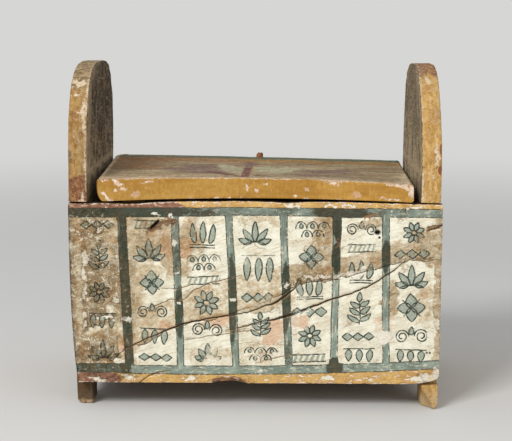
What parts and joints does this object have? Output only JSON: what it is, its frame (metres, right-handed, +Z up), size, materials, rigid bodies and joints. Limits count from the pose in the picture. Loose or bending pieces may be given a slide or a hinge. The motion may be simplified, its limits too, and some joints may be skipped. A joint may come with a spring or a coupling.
{
  "type": "shabti box",
  "caption": "Low painted wooden chest between two tall round-topped end boards on feet, with a flat lift-off lid, pegged joints and a small wooden knob.",
  "frame": {"origin": "on the ground, below the middle of the box", "axes": "+X to the viewer's right along the front, +Y from the front to the back, +Z up"},
  "size_m": [0.4, 0.216, 0.373],
  "materials": {
    "painted_gesso": "aged white ground with painted bands, cracked and worn",
    "ochre_paint": "matt yellow-brown paint on wood, worn through at the edges",
    "lid_paint": "matt paint on wood, streaked and worn",
    "bare_wood": "bare aged wood",
    "peg_wood": "whittled hard wood",
    "figure_paint": "thin matt blue-green and dark brush paint"
  },
  "bodies": {
    "box": {"front_wall": "painted_gesso", "back_wall": "painted_gesso", "left_end_board": "ochre_paint", "right_end_board": "ochre_paint", "floor_board": "bare_wood", "front_left_low_peg": "peg_wood", "front_left_middle_peg": "peg_wood", "front_left_high_peg": "peg_wood", "front_right_low_peg": "peg_wood", "front_right_middle_peg": "peg_wood", "front_right_high_peg": "peg_wood", "back_left_low_peg": "peg_wood", "back_left_middle_peg": "peg_wood", "back_left_high_peg": "peg_wood", "back_right_low_peg": "peg_wood", "back_right_middle_peg": "peg_wood", "back_right_high_peg": "peg_wood", "floor_front_left_peg": "peg_wood", "floor_front_middle_peg": "peg_wood", "floor_front_right_peg": "peg_wood", "floor_back_left_peg": "peg_wood", "floor_back_middle_peg": "peg_wood", "floor_back_right_peg": "peg_wood", "floor_left_near_peg": "peg_wood", "floor_left_far_peg": "peg_wood", "floor_right_near_peg": "peg_wood", "floor_right_far_peg": "peg_wood"},
    "lid": {"lid_board": "lid_paint", "lid_left_cleat": "bare_wood", "lid_right_cleat": "bare_wood", "lid_left_near_peg": "peg_wood", "lid_left_far_peg": "peg_wood", "lid_right_near_peg": "peg_wood", "lid_right_far_peg": "peg_wood", "lid_knob": "peg_wood"}
  },
  "joints": [
    {"name": "lid_lift", "type": "slide", "parent": "box", "child": "lid", "axis": [0, 0, 1], "range_m": [0, 0.165]}
  ]
}
